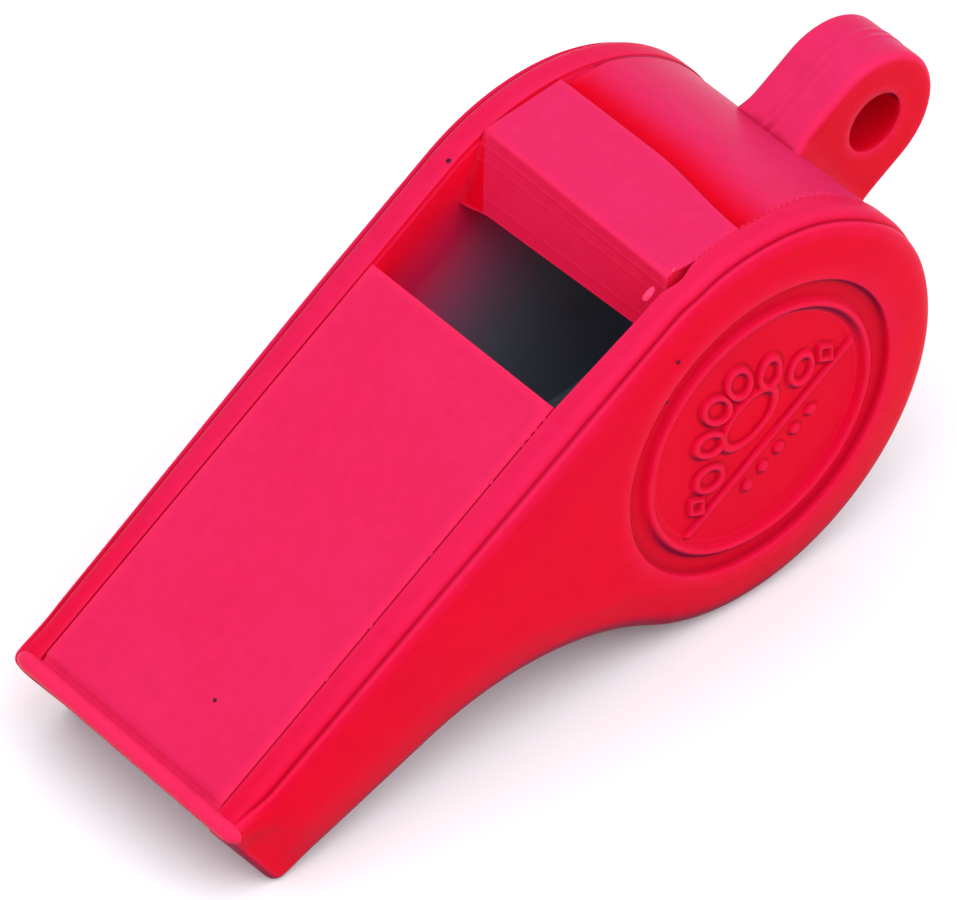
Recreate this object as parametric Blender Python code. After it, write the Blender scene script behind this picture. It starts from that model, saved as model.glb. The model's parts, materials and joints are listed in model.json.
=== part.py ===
"""Pea whistle, moulded plastic, 55 mm long.

Five pieces: the chamber body, the windway roof, a left and a right cheek, and the pea
that whirls in the chamber.  Everything is drawn in the whistle's own axes, with the
chamber axis along Y at the origin, the lanyard lug towards +X and the flat top plate
upwards.  A stance empty then tips the whistle nose-down until it rests on its belly and
on the lower edge of its mouth, and puts the middle of its footprint at the origin.
"""
from math import acos, asin, atan2, cos, pi, radians, sin

import bmesh
import bpy
from mathutils import Matrix, Vector

MM = 0.001

# Side view: x along the whistle, z up, from the chamber axis.
RIM_RADIUS = 12.8 * MM           # round end of a cheek; the top plate is tangent to it
RIM_PROUD = 0.1 * MM             # how far a cheek stands out past the barrel
BARREL_WALL = 2.6 * MM
MOUTH_X = -34.3 * MM
MOUTH_DEPTH = 6.8 * MM           # top plate to the underside, at the mouth
UNDERSIDE_ANGLE = radians(11.5)
THROAT_RADIUS = 17.0 * MM        # concave sweep from the underside into the belly
CORNER_RADIUS = 0.8 * MM         # mouth corners of a cheek, in side view

# Across the whistle, from its middle plane.
CORE_HALF = 7.05 * MM
SEAM_GAP = 0.3 * MM              # glue line between neighbouring pieces
CHEEK_HALF_CHAMBER = 9.7 * MM
CHEEK_HALF_MOUTH = 9.2 * MM
TAPER_START_X = -9.5 * MM
CHEEK_ROUNDING = 1.0 * MM

# Roof, windway and lip.
ROOF_THICKNESS = 1.3 * MM
BEAD_WIDTH = 1.3 * MM            # tooth bead across the front of the roof
BEAD_HEIGHT = 0.35 * MM
WINDOW_FRONT_X = -6.4 * MM
FLOOR_DEPTH_MOUTH = 3.8 * MM     # top plate to the windway floor
FLOOR_DEPTH_WINDOW = 3.3 * MM
FLOOR_END_X = -8.0 * MM
LIP_TIP_X = -0.6 * MM
LIP_TIP_THICKNESS = 0.2 * MM
LIP_TOP_X = 2.6 * MM
FACET_END_X = 7.4 * MM           # flat behind the lip, ends on the rim circle
HOLLOW_RUN = 2.6 * MM            # shallow hollow between the facet and the barrel, along x
HOLLOW_DEPTH = 0.4 * MM

# Lanyard lug.
LUG_X = 16.5 * MM
LUG_Z = -1.1 * MM
LUG_RADIUS = 4.2 * MM
LUG_HALF = 2.25 * MM
LUG_HOLE_RADIUS = 1.8 * MM

# Round medallion on each cheek.
RECESS_RADIUS = 9.2 * MM
RECESS_DEPTH = 0.4 * MM
RING_OUTER = 7.9 * MM
RING_INNER = 7.3 * MM

PEA_RADIUS = 4.7 * MM
PEA_CLEARANCE = 0.2 * MM         # to the chamber wall and to the cheek it lies beside

SMOOTH_ANGLE = radians(35)

BARREL_RADIUS = RIM_RADIUS - RIM_PROUD
CHAMBER_RADIUS = BARREL_RADIUS - BARREL_WALL
CHEEK_INNER = CORE_HALF + SEAM_GAP
MOUTH_CORNER = Vector((MOUTH_X, RIM_RADIUS - MOUTH_DEPTH))
UNDERSIDE = Vector((cos(UNDERSIDE_ANGLE), -sin(UNDERSIDE_ANGLE)))
UNDERSIDE_UP = Vector((sin(UNDERSIDE_ANGLE), cos(UNDERSIDE_ANGLE)))


def arc(centre, radius, start, end, steps):
    """Points on a circle from one angle to another, both ends included."""
    turn = (end - start) / steps
    return [Vector((centre[0] + radius * cos(start + turn * i),
                    centre[1] + radius * sin(start + turn * i))) for i in range(steps + 1)]


def throat_centre():
    """Centre of the concave sweep that touches both the underside and the rim circle."""
    base = MOUTH_CORNER - THROAT_RADIUS * UNDERSIDE_UP
    along = base.dot(UNDERSIDE)
    reach = RIM_RADIUS + THROAT_RADIUS
    travel = -along - (along ** 2 - base.length_squared + reach ** 2) ** 0.5
    return base + travel * UNDERSIDE


def lower_outline(inset):
    """Underside, throat and belly, from the mouth to the rearmost point of the barrel.

    The inset moves the whole line inwards, so the body and the cheeks share one shape.
    """
    throat = throat_centre()
    start = MOUTH_CORNER + inset * UNDERSIDE_UP
    touch = atan2(throat.y, throat.x)
    sweep = arc(throat, THROAT_RADIUS + inset, pi / 2 - UNDERSIDE_ANGLE, touch + pi, 10)
    belly = arc((0, 0), RIM_RADIUS - inset, touch, 0, 30)
    return [start] + sweep + belly[1:]


def mouth_corner(inset):
    """Rounded lower corner of the mouth, from the front face to the underside."""
    rise = CORNER_RADIUS * (1 - sin(UNDERSIDE_ANGLE)) / cos(UNDERSIDE_ANGLE)
    centre = MOUTH_CORNER + Vector((CORNER_RADIUS, rise))
    return arc(centre, CORNER_RADIUS - inset, pi, 1.5 * pi - UNDERSIDE_ANGLE, 4)


def cheek_outline():
    """Side view of a cheek with its end of the tooth bead, anticlockwise from the lower mouth corner."""
    lower = lower_outline(0)
    crown = arc((0, 0), RIM_RADIUS, 0, pi / 2, 18)
    return mouth_corner(0) + lower[1:] + crown[1:] + bead_profile()


def bead_profile():
    """The tooth bead from its foot on the top plate round to the mouth's front face."""
    half = BEAD_WIDTH / 2
    centre = (MOUTH_X + half, RIM_RADIUS + BEAD_HEIGHT - half)
    foot = asin((half - BEAD_HEIGHT) / half)
    return arc(centre, half, foot, pi, 8)


def roof_outline():
    """Side view of the roof plate with its bead."""
    under = RIM_RADIUS - ROOF_THICKNESS
    corners = [Vector((MOUTH_X, under)), Vector((WINDOW_FRONT_X, under)),
               Vector((WINDOW_FRONT_X, RIM_RADIUS))]
    return corners + bead_profile()


def hollow(start, end):
    """Points of the shallow hollow, from the barrel to the foot of the facet's rear edge."""
    points = []
    for i in range(1, 9):
        share = i / 8
        angle = start + (end - start) * share
        radius = BARREL_RADIUS - HOLLOW_DEPTH * (1 - cos(pi * share)) / 2
        points.append(Vector((radius * cos(angle), radius * sin(angle))))
    return points


def core_outline():
    """Side view of the chamber body: floor, belly, barrel, facet, lip and chamber wall."""
    lower = mouth_corner(RIM_PROUD) + lower_outline(RIM_PROUD)[1:]
    hollow_end = acos((FACET_END_X + HOLLOW_RUN) / BARREL_RADIUS)
    back = arc((0, 0), BARREL_RADIUS, 0, hollow_end, 12)[1:]
    back += hollow(hollow_end, acos(FACET_END_X / BARREL_RADIUS))
    crease = Vector((FACET_END_X, (RIM_RADIUS ** 2 - FACET_END_X ** 2) ** 0.5))
    lip_top = Vector((LIP_TOP_X, RIM_RADIUS))
    tip_z = (CHAMBER_RADIUS ** 2 - LIP_TIP_X ** 2) ** 0.5
    tip = Vector((LIP_TIP_X, tip_z + LIP_TIP_THICKNESS))
    tip_angle = acos(LIP_TIP_X / CHAMBER_RADIUS)
    floor_angle = acos(FLOOR_END_X / CHAMBER_RADIUS)
    wall = arc((0, 0), CHAMBER_RADIUS, tip_angle, floor_angle - 2 * pi, 56)
    floor = [Vector((FLOOR_END_X, RIM_RADIUS - FLOOR_DEPTH_WINDOW)),
             Vector((MOUTH_X + RIM_PROUD, RIM_RADIUS - FLOOR_DEPTH_MOUTH))]
    return lower + back + [crease, lip_top, tip] + wall + floor


def make_object(name, bm, parent=None):
    """Turn a bmesh into a scene object with its faces pointing out."""
    bmesh.ops.recalc_face_normals(bm, faces=bm.faces)
    mesh = bpy.data.meshes.new(name)
    bm.to_mesh(mesh)
    bm.free()
    mesh.shade_smooth()
    mesh.set_sharp_from_angle(angle=SMOOTH_ANGLE)
    obj = bpy.data.objects.new(name, mesh)
    bpy.context.scene.collection.objects.link(obj)
    obj.parent = parent
    return obj


def extrude(outline, y0, y1):
    """A bmesh prism of a side-view outline between two y positions."""
    bm = bmesh.new()
    rings = [[bm.verts.new((p.x, y, p.y)) for p in outline] for y in (y0, y1)]
    bridge(bm, rings)
    return bm


def bridge(bm, rings):
    """Skin a stack of rings that all have the same number of points, and cap both ends."""
    count = len(rings[0])
    for lower, upper in zip(rings, rings[1:]):
        for i in range(count):
            j = (i + 1) % count
            bm.faces.new((lower[i], lower[j], upper[j], upper[i]))
    bm.faces.new(rings[0])
    bm.faces.new(rings[-1])


def inset_outline(outline, distance):
    """Move every point of a closed outline inwards along its mitre."""
    moved = []
    for i, here in enumerate(outline):
        ahead = (outline[(i + 1) % len(outline)] - here).normalized()
        behind = (here - outline[i - 1]).normalized()
        normal = Vector((-ahead.y - behind.y, ahead.x + behind.x)).normalized()
        stretch = max(normal.dot(Vector((-ahead.y, ahead.x))), 0.5)
        moved.append(here + normal * distance / stretch)
    return moved


def tapered(x, y):
    """Outer y of a cheek at x: constant over the chamber, narrowing towards the mouth."""
    slope = (CHEEK_HALF_CHAMBER - CHEEK_HALF_MOUTH) / (TAPER_START_X - MOUTH_X)
    drop = max(0.0, TAPER_START_X - x) * slope
    share = (y - CHEEK_INNER) / (CHEEK_HALF_CHAMBER - CHEEK_INNER)
    return y - drop * share


def cheek_mesh(outline):
    """A rounded plate on the +Y side, from the seam to its outer face."""
    bm = bmesh.new()
    steps = 4
    layers = [(CHEEK_INNER, 0.0)]
    for i in range(steps + 1):
        a = pi / 2 * i / steps
        layers.append((CHEEK_HALF_CHAMBER - CHEEK_ROUNDING * (1 - sin(a)), CHEEK_ROUNDING * (1 - cos(a))))
    rings = []
    for y, inset in layers:
        ring = inset_outline(outline, inset) if inset else outline
        rings.append([bm.verts.new((p.x, y, p.y)) for p in ring])
    bridge(bm, rings)
    everything = bm.verts[:] + bm.edges[:] + bm.faces[:]
    bmesh.ops.bisect_plane(bm, geom=everything, plane_co=(TAPER_START_X, 0, 0), plane_no=(1, 0, 0))
    for v in bm.verts:
        v.co.y = tapered(v.co.x, v.co.y)
    return bm


def cylinder(radius, y0, y1, centre=(0, 0), sides=64):
    """A bmesh cylinder along Y."""
    ring = arc(centre, radius, 0, 2 * pi, sides)[:-1]
    return extrude(ring, y0, y1)


def annulus(inner, outer, y0, y1, sides=64):
    """A bmesh washer along Y."""
    bm = bmesh.new()
    loops = []
    for radius, y in ((inner, y0), (outer, y0), (outer, y1), (inner, y1)):
        loops.append([bm.verts.new((p.x, y, p.y)) for p in arc((0, 0), radius, 0, 2 * pi, sides)[:-1]])
    for lower, upper in zip(loops, loops[1:] + loops[:1]):
        for i in range(sides):
            j = (i + 1) % sides
            bm.faces.new((lower[i], lower[j], upper[j], upper[i]))
    return bm


def cut(target, tool, operation="DIFFERENCE"):
    """Add an exact Boolean and keep its tool out of the build."""
    tool.hide_render = True
    tool.display_type = "WIRE"
    boolean = target.modifiers.new(tool.name, "BOOLEAN")
    boolean.operation = operation
    boolean.solver = "EXACT"
    boolean.object = tool


def material(name, colour, roughness):
    """A plain plastic-like surface."""
    mat = bpy.data.materials.new(name)
    mat.diffuse_color = (*colour, 1)
    mat.use_nodes = True
    shader = mat.node_tree.nodes["Principled BSDF"]
    shader.inputs["Base Color"].default_value = (*colour, 1)
    shader.inputs["Roughness"].default_value = roughness
    shader.inputs["Metallic"].default_value = 0.0
    return mat


def make_cheek(name, side, stance):
    """A cheek with its medallion; side is +1 for left and -1 for right."""
    cheek = make_object(name, cheek_mesh(cheek_outline()), stance)
    floor = CHEEK_HALF_CHAMBER - RECESS_DEPTH
    above = CHEEK_HALF_CHAMBER + 1 * MM
    moat = make_object(name + "_moat_cut", annulus(RING_OUTER, RECESS_RADIUS, floor, above), stance)
    disc = make_object(name + "_disc_cut", cylinder(RING_INNER, floor, above), stance)
    for obj in (cheek, moat, disc):
        obj.data.transform(Matrix.Diagonal((1, side, 1, 1)))
        if side < 0:
            obj.data.flip_normals()
    cut(cheek, moat)
    cut(cheek, disc)
    return cheek


def make_body(stance):
    """Chamber body with its lanyard lug."""
    body = make_object("chamber_body", extrude(core_outline(), -CORE_HALF, CORE_HALF), stance)
    root_x = BARREL_RADIUS - BARREL_WALL / 2
    tab = arc((LUG_X, LUG_Z), LUG_RADIUS, -pi / 2, pi / 2, 20)
    tab += [Vector((root_x, LUG_Z + LUG_RADIUS)), Vector((root_x, LUG_Z - LUG_RADIUS))]
    lug = make_object("lug_join", extrude(tab, -LUG_HALF, LUG_HALF), stance)
    hole = make_object("lug_hole_cut", cylinder(LUG_HOLE_RADIUS, -2 * LUG_HALF, 2 * LUG_HALF,
                                                (LUG_X, LUG_Z), 32), stance)
    cut(body, lug, "UNION")
    cut(body, hole)
    return body


def make_pea(lean, stance):
    """The pea, lying at the lowest point of the tipped chamber, beside the right cheek."""
    bm = bmesh.new()
    bmesh.ops.create_uvsphere(bm, u_segments=28, v_segments=18, radius=PEA_RADIUS)
    orbit = CHAMBER_RADIUS - PEA_RADIUS - PEA_CLEARANCE
    aside = CHEEK_INNER - PEA_RADIUS - PEA_CLEARANCE
    bmesh.ops.translate(bm, verts=bm.verts, vec=(-orbit * sin(lean), -aside, -orbit * cos(lean)))
    return make_object("pea", bm, stance)


def lean_angle():
    """Tip that puts the belly circle and the rounded mouth corner on one level line."""
    corner = cheek_outline()[0] + Vector((CORNER_RADIUS, 0))
    drop = asin((RIM_RADIUS - CORNER_RADIUS) / corner.length)
    return drop + atan2(corner.y, -corner.x)


def main():
    for old in list(bpy.data.objects):
        bpy.data.objects.remove(old, do_unlink=True)

    lean = lean_angle()
    stance = bpy.data.objects.new("stance", None)
    bpy.context.scene.collection.objects.link(stance)

    body = make_body(stance)
    roof = make_object("windway_roof", extrude(roof_outline(), -CORE_HALF, CORE_HALF), stance)
    left = make_cheek("left_cheek", 1, stance)
    right = make_cheek("right_cheek", -1, stance)
    pea = make_pea(lean, stance)

    tip = Matrix.Rotation(-lean, 4, "Y")
    outline = [tip @ Vector((p.x, 0, p.y)) for p in cheek_outline()]
    lug_tip = (tip @ Vector((LUG_X, 0, LUG_Z))).x + LUG_RADIUS
    middle = (min(p.x for p in outline) + lug_tip) / 2
    stance.matrix_world = Matrix.Translation((-middle, 0, RIM_RADIUS)) @ tip

    body.data.materials.append(material("body_red", (0.80, 0.010, 0.045), 0.32))
    roof.data.materials.append(material("roof_red", (0.86, 0.018, 0.110), 0.30))
    left.data.materials.append(material("left_red", (0.82, 0.012, 0.060), 0.30))
    right.data.materials.append(material("right_red", (0.84, 0.006, 0.020), 0.30))
    pea.data.materials.append(material("cork", (0.52, 0.33, 0.17), 0.80))


main()
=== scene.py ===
"""Training whistle: the detailed surfaces, materials, light and camera.

Shapes are drawn in the whistle's own axes, in metres: the chamber axis along Y at the
origin, the lanyard lug towards +X, the flat top plate upwards.  place() then tips each
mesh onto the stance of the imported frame.
"""

import json
from math import acos, asin, atan2, cos, exp, pi, radians, sin

import bmesh
import bpy
import numpy as np
from mathutils import Matrix, Vector, geometry, noise


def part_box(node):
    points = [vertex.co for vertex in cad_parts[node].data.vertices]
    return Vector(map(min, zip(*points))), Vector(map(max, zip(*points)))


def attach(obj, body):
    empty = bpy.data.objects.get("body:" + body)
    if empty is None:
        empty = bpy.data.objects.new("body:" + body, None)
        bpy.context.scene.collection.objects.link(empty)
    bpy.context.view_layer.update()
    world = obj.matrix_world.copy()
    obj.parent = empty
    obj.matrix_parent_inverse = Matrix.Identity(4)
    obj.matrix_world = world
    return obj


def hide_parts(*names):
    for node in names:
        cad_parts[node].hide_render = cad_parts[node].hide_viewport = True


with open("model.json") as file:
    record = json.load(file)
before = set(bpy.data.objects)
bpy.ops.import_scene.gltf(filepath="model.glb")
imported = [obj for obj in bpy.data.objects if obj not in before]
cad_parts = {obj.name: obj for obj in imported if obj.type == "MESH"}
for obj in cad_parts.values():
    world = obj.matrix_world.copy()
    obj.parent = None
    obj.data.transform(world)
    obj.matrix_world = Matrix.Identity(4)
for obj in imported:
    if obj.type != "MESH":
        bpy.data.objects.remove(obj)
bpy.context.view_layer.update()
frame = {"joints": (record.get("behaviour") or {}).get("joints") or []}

MM = 0.001

# Driving sizes, as in the CAD.
RIM_R = 12.8 * MM
RIM_PROUD = 0.1 * MM
WALL = 2.6 * MM
MOUTH_X = -34.3 * MM
MOUTH_DEPTH = 6.8 * MM
UNDERSIDE_ANGLE = radians(11.5)
THROAT_R = 17.0 * MM
CORNER_R = 0.8 * MM
CORE_HALF = 7.05 * MM
SEAM_GAP = 0.3 * MM
CHEEK_HALF = 9.7 * MM
CHEEK_HALF_MOUTH = 9.2 * MM
TAPER_START = -9.5 * MM
ROOF_THICK = 1.3 * MM
BEAD_WIDTH = 1.3 * MM
WINDOW_X = -6.4 * MM
FLOOR_MOUTH = 3.8 * MM
FLOOR_WINDOW = 3.3 * MM
FLOOR_END_X = -8.0 * MM
LIP_X = -0.6 * MM
LIP_THICK = 0.2 * MM
LIP_TOP_X = 2.6 * MM
FACET_END_X = 7.4 * MM
HOLLOW_RUN = 2.6 * MM
HOLLOW_DEPTH = 0.6 * MM
LUG_X = 16.5 * MM
LUG_Z = -1.1 * MM
LUG_R = 4.2 * MM
LUG_HALF = 2.25 * MM
HOLE_R = 1.8 * MM
RECESS_R = 9.2 * MM
RECESS_DEPTH = 0.4 * MM

BARREL_R = RIM_R - RIM_PROUD
CHAMBER_R = BARREL_R - WALL
SEAM_Y = CORE_HALF + SEAM_GAP / 2

# Finer sizes that the CAD leaves out.
VISIBLE_GAP = 0.09 * MM          # seams are finer than the CAD's 0.3 mm glue gaps
EDGE_R = 0.07 * MM               # on the edges along every seam
TOP_CORNER_R = 0.7 * MM          # upper front corner of a cheek
DISC_R = 7.15 * MM               # disc of the medallion, a little under its ring
FACET_SKEW_MM = 0.60             # how far the facet's rear edge strays at its right end

MOUTH_CORNER = Vector((MOUTH_X, RIM_R - MOUTH_DEPTH))
UNDER_DIR = Vector((cos(UNDERSIDE_ANGLE), -sin(UNDERSIDE_ANGLE)))
UNDER_UP = Vector((sin(UNDERSIDE_ANGLE), cos(UNDERSIDE_ANGLE)))
# The rounded lower mouth corner: how far its centre is above the sharp corner.
CORNER_RISE = CORNER_R * (1 - sin(UNDERSIDE_ANGLE)) / cos(UNDERSIDE_ANGLE)


def lean_angle():
    """Tip that sets the belly circle and the rounded mouth corner on one level line."""
    corner = Vector((MOUTH_X + CORNER_R, MOUTH_CORNER.y + CORNER_RISE))
    return asin((RIM_R - CORNER_R) / corner.length) + atan2(corner.y, -corner.x)


AXIS = Vector(next(j["pos_m"] for j in frame["joints"] if j["name"] == "pea_orbit"))
LEAN = lean_angle()
STANCE = Matrix.Translation(AXIS) @ Matrix.Rotation(-LEAN, 4, "Y")


# ---------------------------------------------------------------- outlines

def smoothstep(low, high, x):
    """Smooth 0 to 1 as x goes from low to high."""
    t = min(1.0, max(0.0, (x - low) / (high - low)))
    return t * t * (3 - 2 * t)


def arc(centre, radius, start, end, steps):
    """Points on a circle between two angles, both included."""
    turn = (end - start) / steps
    return [Vector((centre[0] + radius * cos(start + turn * i),
                    centre[1] + radius * sin(start + turn * i))) for i in range(steps + 1)]


def lower_outline(inset):
    """Underside, throat and belly, from the mouth to the rearmost point."""
    base = MOUTH_CORNER - THROAT_R * UNDER_UP
    along = base.dot(UNDER_DIR)
    reach = RIM_R + THROAT_R
    throat = base + (-along - (along ** 2 - base.length_squared + reach ** 2) ** 0.5) * UNDER_DIR
    touch = atan2(throat.y, throat.x)
    sweep = arc(throat, THROAT_R + inset, pi / 2 - UNDERSIDE_ANGLE, touch + pi, 40)
    belly = arc((0, 0), RIM_R - inset, touch, 0, 120)
    return [MOUTH_CORNER + inset * UNDER_UP] + sweep + belly[1:]


def cheek_outline():
    """Side view of a cheek, anticlockwise from the lower mouth corner."""
    corner = arc(MOUTH_CORNER + Vector((CORNER_R, CORNER_RISE)), CORNER_R, pi,
                 1.5 * pi - UNDERSIDE_ANGLE, 10)
    crown = arc((0, 0), RIM_R, 0, pi / 2, 90)
    top = arc((MOUTH_X + TOP_CORNER_R, RIM_R - TOP_CORNER_R), TOP_CORNER_R, pi / 2, pi, 10)
    return corner + lower_outline(0)[1:] + crown[1:] + top


def resample(outline, spacing, closed=True):
    """Even out an outline so that no edge is longer than the spacing."""
    points = []
    last = len(outline) if closed else len(outline) - 1
    for i in range(last):
        a, b = outline[i], outline[(i + 1) % len(outline)]
        count = max(1, round((b - a).length / spacing))
        points += [a.lerp(b, k / count) for k in range(count)]
    if not closed:
        points.append(outline[-1])
    return points


def right_seam(x, z):
    """How far the right seam strays outwards beside the lip and the facet."""
    opening = min(1.0, max(0.0, (x - WINDOW_X) / (6.5 * MM)))
    stray = opening * (1 - 0.75 * smoothstep(7 * MM, 11 * MM, x))
    return 0.40 * MM * stray * smoothstep(5 * MM, 9.5 * MM, z)


def quadratic(a, control, b):
    """Seven points of the quadratic curve from a to b."""
    return [a.lerp(control, t).lerp(control.lerp(b, t), t) for t in (i / 6 for i in range(7))]


def soften(before, corner, after, radius):
    """A rounded corner between two straight runs."""
    a = corner + (before - corner).normalized() * radius
    b = corner + (after - corner).normalized() * radius
    return quadratic(a, corner, b)


def even(a, b, count):
    """Points from a up to, but not including, b."""
    return [a.lerp(b, i / count) for i in range(count)]


# Moulding lines of the lip face: how far down the face each lies, and its depth in millimetres.
LIP_LINES = ((0.16, 0.014), (0.34, 0.008), (0.80, 0.010))


def core_outline(y):
    """Side view of the chamber body at one y, the lip and the facet being a little skewed.

    The lip face has fine moulding lines, and the facet ends in a soft crease above the hollow.
    """
    across = y / SEAM_Y
    facet_end = FACET_END_X + (0.05 - FACET_SKEW_MM * smoothstep(0.0, 1.0, -across)) * MM
    lip_top = Vector((LIP_TOP_X + 0.15 * across * MM, RIM_R))
    web = 0.30 * smoothstep(0.70, 1.0, across)
    tip_x = LIP_X + (0.12 - 0.20 * across - web) * MM
    corner = arc(MOUTH_CORNER + Vector((CORNER_R, CORNER_RISE)), CORNER_R - RIM_PROUD, pi,
                 1.5 * pi - UNDERSIDE_ANGLE, 6)
    under = lower_outline(RIM_PROUD)[1:]
    run = even(corner[-1], under[0], 30)
    hollow_end = acos((facet_end + HOLLOW_RUN) / BARREL_R)
    back = arc((0, 0), BARREL_R, 0, hollow_end, 40)[1:-1]
    crease = Vector((facet_end, ((RIM_R - 0.05 * MM) ** 2 - facet_end ** 2) ** 0.5))
    foot_angle = acos((facet_end + 0.12 * MM) / BARREL_R)
    hollow = []
    for i in range(15):
        angle = hollow_end + (foot_angle - hollow_end) * i / 14
        radius = BARREL_R - HOLLOW_DEPTH * (i / 14) ** 1.3
        hollow.append(Vector((radius * cos(angle), radius * sin(angle))))
    edge = soften(hollow[-1], crease, lip_top, 0.22 * MM)
    tip = Vector((tip_x, (CHAMBER_R ** 2 - tip_x ** 2) ** 0.5 + LIP_THICK))
    brow = soften(crease, lip_top, tip, 0.16 * MM)
    face = tip - brow[-1]
    out = Vector((-face.y, face.x)).normalized()
    ribs = []
    for i in range(1, 60):
        t = i / 60
        depth = 0.0
        for line, cut in LIP_LINES:
            depth += cut * MM * exp(-((t - line) / 0.018) ** 2)
        ribs.append(brow[-1] + face * t - out * depth)
    tip_angle = acos(tip_x / CHAMBER_R)
    floor_angle = acos(FLOOR_END_X / CHAMBER_R)
    wall = arc((0, 0), CHAMBER_R, tip_angle, floor_angle - 2 * pi, 180)
    bottom = Vector((FLOOR_END_X, RIM_R - FLOOR_WINDOW))
    front = Vector((MOUTH_X + RIM_PROUD, RIM_R - FLOOR_MOUTH))
    floor = even(wall[-1], bottom, 4)[1:] + even(bottom, front, 60) + even(front, corner[0], 8)
    facet = even(edge[-1], brow[0], 16)[1:]
    return (corner + run[1:] + under + back + hollow + edge + facet + brow + ribs + [tip] +
            wall + floor)


def roof_outline():
    """Side view of the roof plate, which ends under the bead; a fine groove marks its foot."""
    under = RIM_R - ROOF_THICK
    edge = 0.1 * MM
    rear = arc((WINDOW_X - edge, RIM_R - edge), edge, 0, pi / 2, 5)
    front = MOUTH_X + BEAD_WIDTH * 0.6
    foot = MOUTH_X + BEAD_WIDTH + 0.12 * MM
    groove = [Vector((foot + 0.12 * MM, RIM_R)), Vector((foot, RIM_R - 0.1 * MM))]
    return ([Vector((front, under)), Vector((WINDOW_X, under))] + rear + groove +
            [Vector((front, RIM_R - 0.25 * MM))])


# ---------------------------------------------------------------- meshes

def mark_bend(mesh):
    """Store how sharply each point's surface bends: 1 on a tight ridge, -1 in a tight groove."""
    count = len(mesh.vertices)
    co, normal = np.empty(count * 3), np.empty(count * 3)
    mesh.vertices.foreach_get("co", co)
    mesh.vertex_normals.foreach_get("vector", normal)
    co, normal = co.reshape(-1, 3), normal.reshape(-1, 3)
    ends = np.empty(len(mesh.edges) * 2, dtype=np.int32)
    mesh.edges.foreach_get("vertices", ends)
    a, b = ends[0::2], ends[1::2]
    along = co[b] - co[a]
    square = np.maximum((along ** 2).sum(axis=1), 1e-12)
    bend = ((normal[b] - normal[a]) * along).sum(axis=1) / square
    bend = np.clip(bend * 0.3 * MM, -1, 1)
    degree = np.maximum(np.bincount(a, minlength=count) + np.bincount(b, minlength=count), 1)
    wear_and_painted_light = (np.bincount(a, bend, count) + np.bincount(b, bend, count)) / degree
    for _ in range(3):
        around = np.bincount(a, wear_and_painted_light[b], count) + np.bincount(b, wear_and_painted_light[a], count)
        wear_and_painted_light = 0.5 * wear_and_painted_light + 0.5 * around / degree
    layer = mesh.attributes.new("wear_and_painted_light", "FLOAT", "POINT")
    layer.data.foreach_set("value", wear_and_painted_light.astype(np.float32))


def add_object(name, data):
    """Put an object of the data in the scene."""
    obj = bpy.data.objects.new(name, data)
    bpy.context.scene.collection.objects.link(obj)
    return obj


def place(name, bm, smooth=35):
    """Make an object of a bmesh drawn in the whistle's axes, and tip it onto the stance.

    Edges sharper than smooth, in degrees, are left sharp.
    """
    bmesh.ops.recalc_face_normals(bm, faces=bm.faces)
    mesh = bpy.data.meshes.new(name)
    bm.to_mesh(mesh)
    bm.free()
    mesh.transform(STANCE)
    mesh.shade_smooth()
    mark_bend(mesh)
    mesh.set_sharp_from_angle(angle=radians(smooth))
    return add_object(name, mesh)


def skin(bm, rings, closed=True, cap_start=True, cap_end=True):
    """Join a stack of rings with the same number of points, and cap its ends."""
    count = len(rings[0])
    span = count if closed else count - 1
    for low, high in zip(rings, rings[1:]):
        for i in range(span):
            j = (i + 1) % count
            bm.faces.new((low[i], low[j], high[j], high[i]))
    if cap_start:
        bm.faces.new(rings[0])
    if cap_end:
        bm.faces.new(rings[-1])


def inward(outline):
    """Unit mitre normals of a closed anticlockwise outline, pointing into the solid."""
    normals = []
    for i, here in enumerate(outline):
        ahead = (outline[(i + 1) % len(outline)] - here).normalized()
        behind = (here - outline[i - 1]).normalized()
        normals.append(Vector((-ahead.y - behind.y, ahead.x + behind.x)).normalized())
    return normals


def cheek_face_y(x):
    """Outer y of a cheek: level over the chamber, narrowing softly towards the mouth."""
    slope = (CHEEK_HALF - CHEEK_HALF_MOUTH) / (TAPER_START - MOUTH_X)
    past = TAPER_START - x
    soft = 2 * MM
    ramp = max(0.0, past) if abs(past) > soft else (past + soft) ** 2 / (4 * soft)
    return CHEEK_HALF - slope * ramp


def top_share(p):
    """1 along the top of a cheek, 0 along its belly and the mouth's front."""
    if p.x < -11 * MM:
        return smoothstep(RIM_R - 2.5 * MM, RIM_R - 0.3 * MM, p.y)
    return smoothstep(-5 * MM, 6 * MM, p.y)


EDGE_CROWN_MM = 0.42             # how far a cheek's face falls away at its belly edge


def face_y(x, z, border, crowns):
    """Outer y of a cheek, which falls away softly towards its outline.

    border holds the outline's points and crowns the fall at each of them.
    """
    far = np.hypot(border[:, 0] - x, border[:, 1] - z)
    k = int(np.argmin(far))
    reach = 1 - smoothstep(0.0, 3.8 * MM, far[k])
    front = 0.20 * MM * (1 - smoothstep(MOUTH_X + 0.5 * MM, MOUTH_X + 4 * MM, x))
    along = exp(-((far[k] - 2.05 * MM) / (0.30 * MM)) ** 2)
    line = max(0.0, EDGE_CROWN_MM * MM - crowns[k]) * along
    crease = 0.38 * line * smoothstep(-20 * MM, -6 * MM, x)
    return cheek_face_y(x) - crowns[k] * reach - front - crease


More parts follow.
